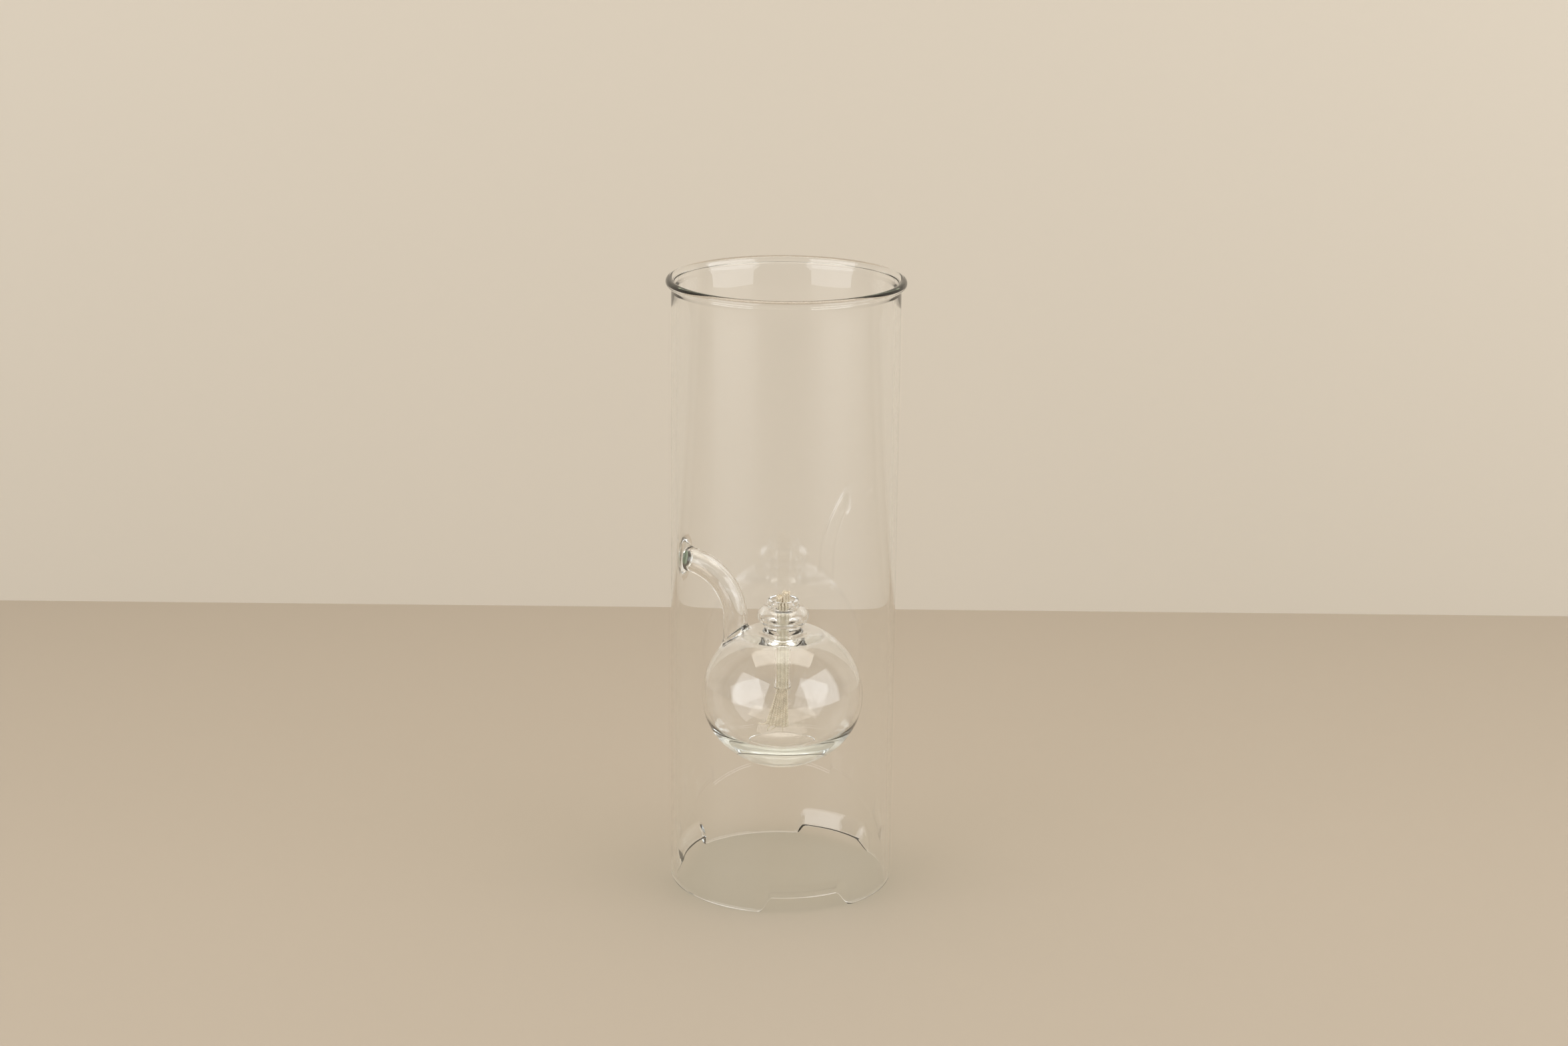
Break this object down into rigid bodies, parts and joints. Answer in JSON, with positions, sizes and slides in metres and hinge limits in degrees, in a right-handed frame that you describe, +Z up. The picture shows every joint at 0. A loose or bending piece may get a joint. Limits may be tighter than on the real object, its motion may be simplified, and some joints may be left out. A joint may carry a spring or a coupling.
{
  "type": "oil lamp",
  "caption": "Clear glass oil lamp: a tall open cylinder chimney carries a round reservoir on a bent glass arm, with a lift-out tube burner and flat cotton wick.",
  "frame": {"origin": "on the chimney's axis, in the plane that the feet stand on", "axes": "+Z up along the chimney's axis, -X towards the side where the arm is sealed into the wall"},
  "size_m": [0.1048, 0.1048, 0.276],
  "materials": {
    "clear_glass": "fire-polished clear borosilicate",
    "cotton_wick": "woven flat cotton tape",
    "lamp_oil": "clear liquid"
  },
  "bodies": {
    "lamp_glass": {"chimney_tube": "clear_glass", "chimney_rim": "clear_glass", "chimney_foot": "clear_glass", "wall_seal": "clear_glass", "arm_tube": "clear_glass", "arm_weld": "clear_glass", "reservoir_bulb": "clear_glass", "neck_pad": "clear_glass", "reservoir_neck": "clear_glass", "lamp_fuel": "lamp_oil"},
    "burner": {"burner_tube": "clear_glass", "burner_cup": "clear_glass"},
    "wick": {"wick_stem": "cotton_wick", "wick_crown": "cotton_wick", "wick_tail": "cotton_wick", "wick_threads": "cotton_wick"}
  },
  "joints": [
    {"name": "burner_lift", "type": "slide", "parent": "lamp_glass", "child": "burner", "axis": [0, 0, 1], "range_m": [0, 0.215], "deforming": ["wick_tail", "wick_threads"]},
    {"name": "wick_feed", "type": "slide", "parent": "burner", "child": "wick", "axis": [0, 0, 1], "range_m": [-0.003, 0.008], "deforming": ["wick_tail", "wick_threads"]}
  ]
}
